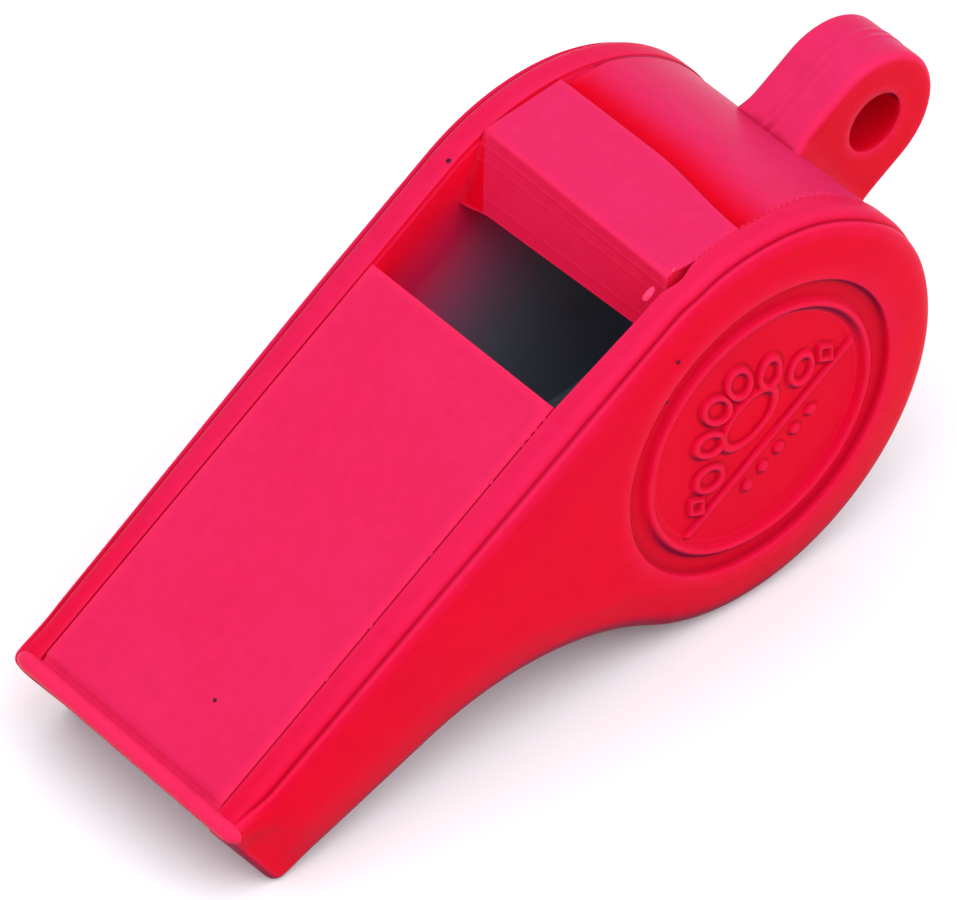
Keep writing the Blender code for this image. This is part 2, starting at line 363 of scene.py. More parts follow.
def cheek_section(p):
    """Cross-section of a cheek at an outline point, from the seam to the outer face.

    Each entry is (share of the cheek's thickness, drop below the outline).  Along the top
    a narrow flat strip falls to a crease, and a rounded shoulder leads to the face; along
    the belly the edge is plainly rounded.
    """
    top = top_share(p)
    chamber = smoothstep(-14 * MM, 0, p.x)
    away = smoothstep(MOUTH_X + TOP_CORNER_R, MOUTH_X + 3.5 * MM, p.x)
    strip = 0.35 + top * (-0.05 + 0.13 * chamber)
    crease = 0.45 + top * (0.29 + 0.02 * chamber)
    fall = top * 0.50 * MM * (0.15 + 0.85 * away)
    lobe = top * 0.12 * MM * away
    drop = (1.45 - 0.10 * top) * MM * (0.35 + 0.65 * away)
    thickness = 2.4 * MM
    section = []
    for i in range(5):
        a = pi / 2 * i / 4
        section.append((EDGE_R * (1 - cos(a)) / thickness, EDGE_R * (1 - sin(a))))
    section += [(strip * 0.5, 0.0), (strip, 0.0)]
    steep = radians(78)
    for i in range(1, 9):
        a = steep * i / 8
        section.append((strip + (crease - strip) * sin(a) / sin(steep),
                        fall * (1 - cos(a)) / (1 - cos(steep))))
    for i in range(1, 15):
        a = pi / 2 * i / 14
        swell = lobe * exp(-((i - 4.5) / 2.2) ** 2)
        section.append((crease + (1 - crease) * sin(a) ** 0.8,
                        fall + (drop - fall) * (1 - cos(a) ** 0.9) - swell))
    return section


def fill(bm, outer, inner, spacing, depth, hole=(0.0, 0.0, RECESS_R)):
    """Triangles between an outer loop and an inner loop (or none), over a grid of points.

    depth gives the y of a point from its side-view position.  hole is the inner loop's
    circle, as (x, z, radius).
    """
    loops = [outer] + ([inner] if inner else [])
    points, edges, verts = [], [], []
    for loop in loops:
        first = len(points)
        verts += loop
        points += [Vector((v.co.x, v.co.z)) for v in loop]
        edges += [(first + i, first + (i + 1) % len(loop)) for i in range(len(loop))]
    border = np.array([(p.x, p.y) for p in points])
    rim = border[:len(outer)]
    low, high = rim.min(axis=0), rim.max(axis=0)
    nxt = np.roll(rim, -1, axis=0)

    def inside(x, z):
        hit = (rim[:, 1] > z) != (nxt[:, 1] > z)
        span = np.where(hit, nxt[:, 1] - rim[:, 1], 1)
        cross = rim[:, 0] + (z - rim[:, 1]) / span * (nxt[:, 0] - rim[:, 0])
        return (np.count_nonzero(hit & (x < cross)) % 2 == 1 and
                (not inner or (x - hole[0]) ** 2 + (z - hole[1]) ** 2 > hole[2] ** 2))

    for i in range(int((high[0] - low[0]) / spacing) + 1):
        for k in range(int((high[1] - low[1]) / spacing) + 1):
            x = low[0] + (i + 0.5 * (k % 2)) * spacing
            z = low[1] + k * spacing
            if not inside(x, z):
                continue
            if np.min(np.hypot(border[:, 0] - x, border[:, 1] - z)) > 0.55 * spacing:
                points.append(Vector((x, z)))
                verts.append(bm.verts.new((x, depth(x, z), z)))
    result = geometry.delaunay_2d_cdt(points, edges, [], 0, 1e-9, True)
    origin = [ids[0] for ids in result[3]]
    for face in result[2]:
        centre = sum((Vector(result[0][i]) for i in face), Vector((0, 0))) / 3
        if inside(centre.x, centre.y):
            bm.faces.new([verts[origin[i]] for i in face])


# Profile of the recess and its raised ring, as (radius, depth below the cheek) in millimetres.
MEDALLION = [(9.20, 0.00), (9.14, 0.02), (9.08, 0.08), (9.03, 0.20), (8.97, 0.32), (8.88, 0.385),
             (8.75, 0.40), (8.40, 0.40), (8.15, 0.39), (8.00, 0.34), (7.88, 0.22), (7.78, 0.09),
             (7.68, 0.02), (7.60, 0.00), (7.52, 0.02), (7.42, 0.09), (7.32, 0.22), (7.20, 0.34),
             (7.05, 0.39), (6.90, 0.40), (6.85, 0.70)]


def make_cheek(name, side):
    """A cheek, its shoulder, its recess and its raised ring; side is +1 left, -1 right."""
    outline = resample(cheek_outline(), 0.30 * MM)
    normals = inward(outline)
    sections = [cheek_section(p) for p in outline]
    border = np.array([(p.x, p.y) for p in outline])
    crowns = [(EDGE_CROWN_MM - 0.24 * top_share(p)) * MM for p in outline]

    def outer_y(x, z):
        return face_y(x, z, border, crowns)

    def inner_y(x, z):
        y = SEAM_Y + VISIBLE_GAP / 2
        if side < 0:
            y += right_seam(x, z) + open_seam(x, z)
        return y

    bm = bmesh.new()
    rings = []
    for k in range(len(sections[0])):
        ring = []
        for p, n, section in zip(outline, normals, sections):
            share, drop = section[k]
            q = p + n * drop
            near = inner_y(q.x, q.y)
            y = near + share * (outer_y(q.x, q.y) - near)
            ring.append(bm.verts.new((q.x, side * y, q.y)))
        rings.append(ring)
    skin(bm, rings, cap_start=False, cap_end=False)
    # The inner face stands proud a little way in from its edge, so that the seams are closed.
    rest = VISIBLE_GAP + 0.02 * MM
    tongue = [rings[0]]
    for inset, rise in ((0.35, 0.0), (0.36, 1.0)):
        ring = []
        for p, n in zip(outline, normals):
            q = p + n * inset * MM
            ring.append(bm.verts.new((q.x, side * (inner_y(q.x, q.y) - rest * rise), q.y)))
        tongue.append(ring)
    skin(bm, tongue, cap_start=False, cap_end=False)
    fill(bm, tongue[-1], None, 0.9 * MM, lambda x, z: side * (inner_y(x, z) - rest))
    discs = []
    for radius, depth in MEDALLION:
        y = side * (CHEEK_HALF - depth * MM)
        discs.append([bm.verts.new((radius * MM * cos(a), y, radius * MM * sin(a)))
                      for a in (2 * pi * i / 360 for i in range(360))])
    skin(bm, discs, cap_start=False)
    fill(bm, rings[-1], discs[0], 0.6 * MM, lambda x, z: side * outer_y(x, z))
    return place(name, bm)


def ellipse_distance(x, z, cx, cz, rx, rz, turn=0.0):
    """Approximate distance to an ellipse's edge, negative inside, in the units given."""
    dx, dz = x - cx, z - cz
    u = dx * cos(turn) + dz * sin(turn)
    w = -dx * sin(turn) + dz * cos(turn)
    k = ((u / rx) ** 2 + (w / rz) ** 2) ** 0.5
    return (k - 1) * min(rx, rz)


ORNAMENT_MM = 0.22               # height of the ornament over the disc

# Pad and toes of the paw print, as ellipses (x, z, half width, half height, turn).
PAW = [(0.0, 1.15, 1.95, 1.35, 0.0), (-2.45, 2.45, 0.68, 1.0, 0.5), (-0.9, 4.05, 0.72, 1.08, 0.15),
       (0.9, 4.05, 0.72, 1.08, -0.15), (2.45, 2.45, 0.68, 1.0, -0.5)]


def ornament(x, z):
    """Height of the generic moulded ornament at a point of the disc, both in millimetres.

    A level bar crosses the disc.  Above it a paw print stands in outline between two
    pairs of small shapes, and below it lies a row of studs.
    """
    lines = [abs(z + 1.6)]
    lines += [abs(ellipse_distance(x, z, *e)) for e in PAW]
    for sx in (-1, 1):
        lines.append(abs(ellipse_distance(x, z, sx * 3.75, 0.35, 0.75, 0.95, sx * -0.5)))
        u, w = x - sx * 5.25, z + 0.45
        lines.append(abs(abs(u) * 1.1 + abs(w) * 0.65 - 0.52))
    height = 0.0
    for d in lines:
        height = max(height, ORNAMENT_MM * (1 - smoothstep(0.08, 0.28, d)))
    for i in range(5):
        d = ((x - (i - 2) * 1.3) ** 2 + (z + 2.95) ** 2) ** 0.5
        height = max(height, ORNAMENT_MM * (1 - smoothstep(0.20, 0.46, d)))
    return height * MM


def make_medallion(name, side):
    """The disc inside the ring, with its ornament raised on it."""
    turns, layers = 400, 62
    bm = bmesh.new()
    rings = []
    for k in range(layers):
        r = DISC_R * (1 - k / layers)
        ring = []
        for i in range(turns):
            a = 2 * pi * i / turns
            x, z = r * cos(a), r * sin(a)
            rise = ornament(side * -x / MM, z / MM) * (1 - smoothstep(6.92 * MM, 7.1 * MM, r))
            y = CHEEK_HALF - RECESS_DEPTH + 0.01 * MM + rise
            ring.append(bm.verts.new((x, side * y, z)))
        rings.append(ring)
    skin(bm, rings, cap_start=False)
    skirt = [bm.verts.new((v.co.x * 1.01, v.co.y - side * 0.2 * MM, v.co.z * 1.01))
             for v in rings[0]]
    for i in range(turns):
        j = (i + 1) % turns
        bm.faces.new((skirt[i], skirt[j], rings[0][j], rings[0][i]))
    bm.faces.new(skirt)
    return place(name, bm, 60)


def open_seam(x, z):
    """Gap left beside the facet, just behind the lip, where the right seam didn't close."""
    gap = sin(pi * min(1.0, max(0.0, (x - 1.5 * MM) / (2.5 * MM)))) ** 2
    return 0.28 * MM * gap * smoothstep(RIM_R - 3.2 * MM, RIM_R - 1.6 * MM, z)


def across_layers(half, edge, count):
    """Stations across a part, as (y, inset), with a quarter round at each long edge."""
    turn = [pi / 2 * i / 4 for i in range(5)]
    near = [(-(half - edge) - edge * cos(a), edge * (1 - sin(a))) for a in turn]
    middle = [(-(half - edge) + 2 * (half - edge) * i / count, 0.0) for i in range(1, count)]
    return near + middle + [(-y, inset) for y, inset in reversed(near)]


def carry(name, outline_at, half, edge, count, stray=None):
    """A side-view outline, which may change with y, carried across the whistle.

    stray moves the right edge outwards, as the seam beside it does.
    """
    bm = bmesh.new()
    rings = []
    for y, inset in across_layers(half, edge, count):
        outline = outline_at(y)
        ring = []
        for p, n in zip(outline, inward(outline)):
            q = p + n * inset
            shift = 0.0
            if stray:
                shift = stray(q.x, q.y) * smoothstep(2 * MM, half, -y)
                shift -= 0.6 * open_seam(q.x, q.y) * smoothstep(0.9 * half, half, -y)
            ring.append(bm.verts.new((q.x, y - shift, q.y)))
        rings.append(ring)
    skin(bm, rings)
    return place(name, bm, 40)


def make_lug():
    """Lanyard lug: a rounded tab with a small root fillet, a parting ridge and a round hole."""
    top, low = LUG_Z + LUG_R, LUG_Z - LUG_R
    root, buried = 10.4 * MM, 0.9 * MM      # the tab goes on inside the barrel's wall
    flare = 0.2 * MM
    upper_x = (BARREL_R ** 2 - top ** 2) ** 0.5
    lower_x = (BARREL_R ** 2 - low ** 2) ** 0.5
    lower_foot = Vector((lower_x - 0.3 * flare, low - flare))
    outline = even(Vector((lower_x - 0.5 * MM, low - buried)), lower_foot, 2)
    outline += quadratic(lower_foot, Vector((lower_x, low)), Vector((lower_x + flare, low)))
    outline += even(Vector((lower_x + flare, low)), Vector((LUG_X, low)), 10)[1:]
    outline += arc((LUG_X, LUG_Z), LUG_R, -pi / 2, pi / 2, 60)
    outline += even(Vector((LUG_X, top)), Vector((upper_x + flare, top)), 10)[1:]
    outline += quadratic(Vector((upper_x + flare, top)), Vector((upper_x, top)),
                         Vector((upper_x - 0.2 * flare, top + flare)))
    outline += [Vector((upper_x - 0.35 * MM, top + buried))]
    outline += even(Vector((root, top + buried)), Vector((root, low - buried)), 20)
    outline += [Vector((root, low - buried))]
    normals = inward(outline)
    edge, lip, half = 0.40 * MM, 0.08 * MM, LUG_HALF
    profile = [(half - edge * (1 - sin(a)), edge * (1 - cos(a)))
               for a in (pi / 2 * i / 6 for i in range(6, -1, -1))]
    ridge = ((1.2, 0), (0.7, 0), (0.42, 0), (0.34, -0.04), (0.26, -0.04), (0.18, 0), (0, 0))
    profile += [(y * MM, inset * MM) for y, inset in ridge]
    profile += [(-y, inset) for y, inset in reversed(profile[:-1])]

    def spread(x):
        """How much wider the tab is at x, near its root."""
        return 1 + 0.10 * exp(-max(0.0, x - BARREL_R) / (0.30 * MM))

    bm = bmesh.new()
    rings = []
    for y, inset in profile:
        ring = []
        for p, n in zip(outline, normals):
            q = p + n * inset
            ring.append(bm.verts.new((q.x, y * spread(q.x), q.y)))
        rings.append(ring)
    skin(bm, rings, cap_start=False, cap_end=False)
    holes = []
    turns = [2 * pi * i / 72 for i in range(72)]
    mouth = [(half, lip), (half - 0.3 * lip, 0.45 * lip), (half - 0.6 * lip, 0.15 * lip),
             (half - lip, 0)]
    bore = mouth + [(half * k / 4, 0) for k in (3, 1, -1, -3)]
    bore += [(-y, grow) for y, grow in reversed(mouth)]
    for y, grow in bore:
        r = HOLE_R + grow
        holes.append([bm.verts.new((LUG_X + r * cos(a), y, LUG_Z + r * sin(a))) for a in turns])
    skin(bm, holes, cap_start=False, cap_end=False)
    for rim, hole, side in ((rings[0], holes[0], 1), (rings[-1], holes[-1], -1)):
        fill(bm, rim, hole, 0.45 * MM, lambda x, z: side * half * spread(x),
             (LUG_X, LUG_Z, HOLE_R + lip))
    return place("lanyard_lug", bm, 50)


def make_bead():
    """Tooth bead: a half-round rod across the front of the roof, with rounded ends."""
    wide, tall = 0.52 * MM, 0.60 * MM
    centre = Vector((MOUTH_X + 0.60 * MM, RIM_R + 0.30 * MM - tall))
    left_end, right_end = CHEEK_HALF_MOUTH - 0.55 * MM, -CHEEK_HALF_MOUTH + 0.05 * MM
    bm = bmesh.new()
    rings = []
    for i in range(81):
        t = i / 80
        y = right_end + (left_end - right_end) * t
        near = min(y - right_end, left_end - y) / (0.9 * MM)
        scale = max(0.05, (1 - (1 - min(1.0, near)) ** 2) ** 0.5)
        size = scale * (1 + 0.03 * noise.noise(Vector((3.1, y / MM * 0.5, 0.4))))
        drop = (1 - scale) * 0.25 * MM
        ring = []
        for k in range(28):
            a = 2 * pi * k / 28
            ring.append(bm.verts.new((centre.x + wide * size * cos(a), y,
                                      centre.y - drop + tall * size * sin(a))))
        rings.append(ring)
    skin(bm, rings)
    return place("tooth_bead", bm, 60)


def lump(bm, centre, sizes, seed):
    """A small irregular blob, its centre and half sizes in millimetres."""
    for v in bmesh.ops.create_icosphere(bm, subdivisions=3, radius=1.0)["verts"]:
        swell = 1 + 0.22 * noise.noise(v.co * 1.3 + Vector((seed, 0, 0)))
        v.co = Vector([c + w * f * swell for c, w, f in zip(centre, v.co, sizes)]) * MM


def make_flash():
    """Two beads of flash beside the lip."""
    bm = bmesh.new()
    lump(bm, (1.15, -7.25, 12.86), (0.46, 0.20, 0.16), 1.0)
    lump(bm, (2.9, -7.32, 12.62), (0.20, 0.10, 0.10), 5.0)
    return place("seam_flash", bm, 80)


def make_trail():
    """Grains of flash squeezed out along the right seam."""
    bm = bmesh.new()
    x = 4.1
    seed = 0
    while x < 11.5:                         # down the facet, then round the barrel
        seed += 1
        size = 0.09 + 0.07 * noise.noise(Vector((seed * 1.7, 2.0, 0.5)))
        if x < 7.0:
            z = RIM_R / MM - (x - 2.6) * 0.49
        else:
            z = (RIM_R ** 2 / MM ** 2 - x * x) ** 0.5 - 0.06
        y = -(SEAM_Y + right_seam(x * MM, z * MM)) / MM
        y += 0.12 * noise.noise(Vector((seed * 2.3, 7.0, 1.0)))
        lump(bm, (x, y, z), (size * 1.7, size, size * 0.8), seed)
        x += 0.34 + 0.14 * noise.noise(Vector((seed * 3.1, 4.0, 2.0)))
    # A few smaller grains lie along the roof.
    for x in (-24.5, -21.0, -16.2, -11.4, -8.9, -8.4, -7.9, -7.2):
        lump(bm, (x, -SEAM_Y / MM, RIM_R / MM), (0.16, 0.06, 0.05), x)
    return place("seam_grains", bm, 80)


def make_specks():
    """Grains of dirt moulded into the surface."""
    bm = bmesh.new()
    side = -CHEEK_HALF
    spots = [((-29.0, -2.75, RIM_R / MM), "z", 0.12), ((-0.5, side / MM + 0.03, 10.3), "y", 0.13),
             ((-2.4, side / MM + 0.02, 8.75), "y", 0.12), ((0.25, 7.6, RIM_R / MM), "z", 0.14)]
    for (x, y, z), facing, size in spots:
        flat = (1, 1, 0.08) if facing == "z" else (1, 0.08, 1)
        made = bmesh.ops.create_icosphere(bm, subdivisions=3, radius=1.0)["verts"]
        for v in made:
            bump = 1 + 0.35 * noise.noise(v.co * 1.6 + Vector((x, y, z)))
            v.co = Vector([c + w * f * size * bump for c, w, f in zip((x, y, z), v.co, flat)]) * MM
    return place("moulded_specks", bm, 80)


def make_pea():
    """Cork pea: a turned ball, flattened a little in places, pitted with pores."""
    low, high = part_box("pea")
    centre = (Vector(low) + Vector(high)) / 2
    radius = min(h - l for l, h in zip(low, high)) / 2
    bm = bmesh.new()
    bmesh.ops.create_icosphere(bm, subdivisions=6, radius=1.0)
    for v in bm.verts:
        d = v.co.normalized()
        swell = 0.012 * noise.noise(d * 1.7)
        pore = max(0.0, noise.noise(d * 9.0 + Vector((4, 1, 2))) - 0.28)
        cell = 0.006 * noise.noise(d * 24.0)
        v.co = d * radius * (0.985 + swell * 0.8 - 0.10 * pore + cell)
    bmesh.ops.translate(bm, verts=bm.verts, vec=centre)
    mesh = bpy.data.meshes.new("cork_pea")
    bm.to_mesh(mesh)
    bm.free()
    mesh.shade_smooth()
    return add_object("cork_pea", mesh)


# ---------------------------------------------------------------- materials

# Colours, linear.  Of each pair the first is for sides and the second, rosier, is painted top
# light for what faces up.
RED, ROSE = (0.640, 0.0006, 0.0110), (0.630, 0.0135, 0.0720)
# The body's painted top light, a little paler.
ROSE_PALE = (0.620, 0.0170, 0.0900)
CHEEK_RED, CHEEK_ROSE = (0.640, 0.0014, 0.0160), (0.630, 0.0100, 0.0600)
# Flash: paler pink than the body, partly its own colour and partly a painted glint; the second is
# its painted top light.
FLASH_RED, FLASH_ROSE = (0.64, 0.05, 0.14), (0.66, 0.12, 0.26)
# Paler pink on ridges: rubbed wear, and partly a painted highlight along the edges.
RUBBED_AND_HIGHLIT = (0.72, 0.020, 0.085)
# Dark red in grooves and creases: painted shade.
CREASE_SHADE_COLOUR = (0.30, 0.001, 0.008)
# Dark red on surfaces that face down: painted shade.
UNDERSIDE_SHADE = (0.15, 0.0012, 0.026)
GLOSS_TINT = (1.0, 0.06, 0.30)
CORK_DARK, CORK_PALE = (0.30, 0.165, 0.075), (0.50, 0.31, 0.155)
CORK_PORE = (0.16, 0.10, 0.06)

# The chamber's walls, from the window down to the chamber's depth: painted light and shade, bright
# where light comes through the wall and dark in the depth.
CHAMBER_LIGHT_AND_SHADE = [(0.05, (0.84, 0.004, 0.030)), (0.26, (0.66, 0.015, 0.085)),
                 (0.52, (0.50, 0.12, 0.25)), (0.72, (0.34, 0.22, 0.32)),
                 (0.95, (0.24, 0.31, 0.38))]


def new_material(name, colour):
    """A material with its plain colour set, and its node tree and shader."""
    mat = bpy.data.materials.new(name)
    mat.diffuse_color = (*colour, 1)
    mat.use_nodes = True
    return mat, mat.node_tree, mat.node_tree.nodes["Principled BSDF"]


def node(tree, kind, **values):
    """Add a node; plain values go to its properties, and the rest to its inputs."""
    made = tree.nodes.new(kind)
    for key, value in values.items():
        if key in made.inputs:
            made.inputs[key].default_value = value
        else:
            setattr(made, key, value)
    return made


def ramp(tree, source, stops):
    """Colours of a ramp with (position, colour) stops."""
    made = tree.nodes.new("ShaderNodeValToRGB")
    elements = made.color_ramp.elements
    while len(elements) < len(stops):
        elements.new(0.5)
    for element, (position, colour) in zip(elements, stops):
        element.position = position
        element.color = (*colour, 1)
    tree.links.new(source, made.inputs["Fac"])
    return made.outputs["Color"]


def blend(tree, factor, first, second, mode="MIX"):
    """Colour mix node; factor, first and second are sockets or plain values."""
    made = node(tree, "ShaderNodeMix", data_type="RGBA", blend_type=mode)
    for slot_index, value in ((0, factor), (6, first), (7, second)):
        if isinstance(value, bpy.types.NodeSocket):
            tree.links.new(value, made.inputs[slot_index])
        elif slot_index == 0:
            made.inputs[0].default_value = value
        else:
            made.inputs[slot_index].default_value = (*value, 1)
    return made.outputs[2]


def smooth_range(tree, source, low, high):
    """Smooth 0 to 1 as the source goes from low to high."""
    made = node(tree, "ShaderNodeMapRange", interpolation_type="SMOOTHSTEP")
    made.inputs["From Min"].default_value = low
    made.inputs["From Max"].default_value = high
    tree.links.new(source, made.inputs["Value"])
    return made.outputs["Result"]


def linear_range(tree, source, given=(0.0, 1.0), wanted=(0.0, 1.0)):
    """Carry the given range of the source onto the wanted one."""
    made = node(tree, "ShaderNodeMapRange")
    for key, value in zip(("From Min", "From Max", "To Min", "To Max"), (*given, *wanted)):
        made.inputs[key].default_value = value
    tree.links.new(source, made.inputs["Value"])
    return made.outputs["Result"]


def noise_at(tree, where, **values):
    """Noise texture read at a place."""
    made = node(tree, "ShaderNodeTexNoise", **values)
    tree.links.new(where, made.inputs["Vector"])
    return made.outputs["Fac"]


def y_of(tree, vector):
    """The y of a vector socket."""
    apart = node(tree, "ShaderNodeSeparateXYZ")
    tree.links.new(vector, apart.inputs[0])
    return apart.outputs["Y"]


def vector_maths(tree, operation, first, second=None, result=0):
    """Vector node; first is a socket, second a socket or a plain vector."""
    made = node(tree, "ShaderNodeVectorMath", operation=operation)
    tree.links.new(first, made.inputs[0])
    if isinstance(second, bpy.types.NodeSocket):
        tree.links.new(second, made.inputs[1])
    elif second is not None:
        made.inputs[1].default_value = second
    return made.outputs[result]


def maths(tree, first, second, operation="MULTIPLY"):
    """Number node; first is a socket, second a socket or a plain number."""
    made = node(tree, "ShaderNodeMath", operation=operation)
    tree.links.new(first, made.inputs[0])
    if isinstance(second, bpy.types.NodeSocket):
        tree.links.new(second, made.inputs[1])
    else:
        made.inputs[1].default_value = second
    return made.outputs[0]


def inside_chamber(tree, where, normal):
    """Sockets for (share inside the sounding chamber, its colour).

    The walls are painted with light and shade: bright red at the window, where light comes through
    them, darkening through plum to a dull blue-grey painted shade in the depth of the chamber.
    """
    offset = vector_maths(tree, "SUBTRACT", where, AXIS)
    flat = vector_maths(tree, "MULTIPLY", offset, (1, 0, 1))
    reach = vector_maths(tree, "LENGTH", flat, result="Value")
    outward = vector_maths(tree, "DOT_PRODUCT", flat, normal, "Value")
    inward_share = maths(tree, outward, reach, "DIVIDE")
    near = smooth_range(tree, reach, 16.0 * MM, 14.5 * MM)
    side = maths(tree, y_of(tree, offset), 0.0, "ABSOLUTE")
    within = maths(tree, maths(tree, side, 7.9 * MM, "LESS_THAN"), near)
    walls = maths(tree, smooth_range(tree, inward_share, 0.12, 0.03),
                  maths(tree, side, 6.0 * MM, "GREATER_THAN"))
    barrel = smooth_range(tree, inward_share, -0.1, -0.4)
    share = maths(tree, within, maths(tree, walls, barrel, "MAXIMUM"))
    depth = linear_range(tree, whistle_xz(tree, where)[1], (12.0 * MM, -2.0 * MM))
    return share, ramp(tree, depth, CHAMBER_LIGHT_AND_SHADE)


def whistle_xz(tree, where):
    """Sockets for x and z in the whistle's own axes, from the chamber axis."""
    offset = vector_maths(tree, "SUBTRACT", where, AXIS)
    return [vector_maths(tree, "DOT_PRODUCT", offset, direction, "Value")
            for direction in ((cos(LEAN), 0, sin(LEAN)), (-sin(LEAN), 0, cos(LEAN)))]


def hollow_shade(tree, where):
    """0 in the hollow behind the facet, 1 elsewhere: painted shade, the hollow keeps the deep red
    without the painted top light.
    """
    skew = maths(tree, smooth_range(tree, y_of(tree, where), 0.0, -SEAM_Y), FACET_SKEW_MM * MM)
    x = maths(tree, whistle_xz(tree, where)[0], skew, "ADD")
    before = maths(tree, x, FACET_END_X + 0.06 * MM, "LESS_THAN")
    after = smooth_range(tree, x, FACET_END_X + 0.2 * MM, FACET_END_X + HOLLOW_RUN)
    return maths(tree, before, after, "MAXIMUM")


def radius_of(tree, x, z):
    """How far (x, z) is from the origin."""
    square = maths(tree, maths(tree, x, x), maths(tree, z, z), "ADD")
    return maths(tree, square, 0.5, "POWER")


def bore_shade(tree, where):
    """0 on the wall of the lanyard hole, 1 elsewhere: painted shade, with no painted top light
    inside the hole.
    """
    x, z = whistle_xz(tree, where)
    dx = maths(tree, x, -LUG_X, "ADD")
    dz = maths(tree, z, -LUG_Z, "ADD")
    return smooth_range(tree, radius_of(tree, dx, dz), HOLE_R + 0.02 * MM, HOLE_R + 0.12 * MM)


def cheek_shade(tree, where):
    """How much painted top light a cheek gets: 1 on most of it, fading towards the mouth and faint
    inside the medallion.
    """
    x, z = whistle_xz(tree, where)
    rear = maths(tree, maths(tree, smooth_range(tree, x, -34 * MM, -15 * MM), 0.6), 0.4, "ADD")
    ring = smooth_range(tree, radius_of(tree, x, z), RECESS_R, RECESS_R + 0.5 * MM)
    return maths(tree, maths(tree, maths(tree, ring, 0.75), 0.25, "ADD"), rear)


def lip_shade(tree, where):
    """0 on a slim triangle at the left end of the lip face, 1 elsewhere: a painted shadow of the
    left cheek, without the painted top light.
    """
    x, z = whistle_xz(tree, where)
    slope = 2.0 / 3.2
    below = maths(tree, maths(tree, z, -RIM_R, "ADD"), -slope)
    web = smooth_range(tree, maths(tree, y_of(tree, where), below, "ADD"), 7.14 * MM, 6.98 * MM)
    web = maths(tree, web, maths(tree, x, -3 * MM, "LESS_THAN"), "MAXIMUM")
    return maths(tree, web, maths(tree, x, LIP_TOP_X + 0.2 * MM, "GREATER_THAN"), "MAXIMUM")


def plastic(name, red, rose, shades=(), roughness=0.36, gloss_level=0.12, wear_and_painted_light=0.75):
    """Moulded plastic: deep red with fine grain, with painted light and shade in its colour.

    A rosier tone where it faces up is painted top light; rubbed edges carry a painted highlight as
    well as wear; grooves, down-facing surfaces and the chamber get painted shade.  shades are
    functions of place that hold the painted top light back where they are below 1.
    """
    mat, tree, shader = new_material(name, red)
    link = tree.links.new
    shader.inputs["IOR"].default_value = 1.49
    shader.inputs["Specular IOR Level"].default_value = gloss_level
    shader.inputs["Specular Tint"].default_value = (*GLOSS_TINT, 1)
    where = node(tree, "ShaderNodeTexCoord").outputs["Object"]

    normal = node(tree, "ShaderNodeNewGeometry").outputs["Normal"]
    facing = vector_maths(tree, "DOT_PRODUCT", normal, (0, 0, 1), "Value")
    # Painted top light: up-facing surfaces get the rosier tone, held back where the shades are
    # below 1.
    up = smooth_range(tree, facing, -0.1, 0.80)
    for shade in shades:
        up = maths(tree, up, shade(tree, where))
    cloud = noise_at(tree, where, Scale=110.0, Detail=5.0, Roughness=0.6)
    drift = smooth_range(tree, cloud, 0.25, 0.75)
    deeper = blend(tree, drift, red, tuple(c * k for c, k in zip(red, (0.93, 0.8, 1.25))))
    rosier = blend(tree, drift, rose, tuple(c * k for c, k in zip(rose, (1.0, 1.25, 1.22))))
    tint = blend(tree, up, deeper, rosier)

    mottle = noise_at(tree, where, Scale=1100.0, Detail=3.0, Roughness=0.7)
    shade = ramp(tree, mottle, [(0.30, (0.93, 0.90, 0.90)), (0.70, (1.0, 1.0, 1.0))])
    tint = blend(tree, 1.0, tint, shade, "MULTIPLY")

    # Ridges get a paler pink that is partly wear and partly a painted highlight; grooves get
    # painted shade.
    bend = node(tree, "ShaderNodeAttribute", attribute_name="wear_and_painted_light").outputs["Fac"]
    rub = smooth_range(tree, noise_at(tree, where, Scale=420.0, Detail=4.0), 0.1, 0.5)
    worn_and_highlit = maths(tree, smooth_range(tree, bend, 0.04, 0.35), rub)
    tint = blend(tree, maths(tree, worn_and_highlit, wear_and_painted_light), tint, RUBBED_AND_HIGHLIT)
    # Painted shade in grooves and creases.
    crease_shade = maths(tree, smooth_range(tree, bend, -0.04, -0.35), 0.6)
    tint = blend(tree, crease_shade, tint, CREASE_SHADE_COLOUR)
    # Painted shade on surfaces that face down.
    low = maths(tree, smooth_range(tree, facing, -0.07, -0.45), 0.92)
    tint = blend(tree, low, tint, UNDERSIDE_SHADE)
    # Painted light and shade inside the chamber.
    share, chamber = inside_chamber(tree, where, normal)
    tint = blend(tree, share, tint, chamber)
    link(tint, shader.inputs["Base Color"])

    haze = noise_at(tree, where, Scale=260.0, Detail=6.0, Roughness=0.65)
    link(linear_range(tree, haze, wanted=(roughness - 0.07, roughness + 0.13)),
         shader.inputs["Roughness"])

    peel = noise_at(tree, where, Scale=1300.0, Detail=2.0)
    stretch = node(tree, "ShaderNodeMapping")
    stretch.inputs["Rotation"].default_value = (0.0, LEAN, 0.35)
    stretch.inputs["Scale"].default_value = (0.06, 1.0, 1.0)
    link(where, stretch.inputs["Vector"])
    scratch = noise_at(tree, stretch.outputs["Vector"], Scale=3200.0, Detail=2.0)
    first = node(tree, "ShaderNodeBump", Strength=0.14, Distance=0.05 * MM)
    link(peel, first.inputs["Height"])
    second = node(tree, "ShaderNodeBump", Strength=0.08, Distance=0.02 * MM)
    link(smooth_range(tree, scratch, 0.66, 0.72), second.inputs["Height"])
    link(first.outputs["Normal"], second.inputs["Normal"])
    link(second.outputs["Normal"], shader.inputs["Normal"])
    return mat


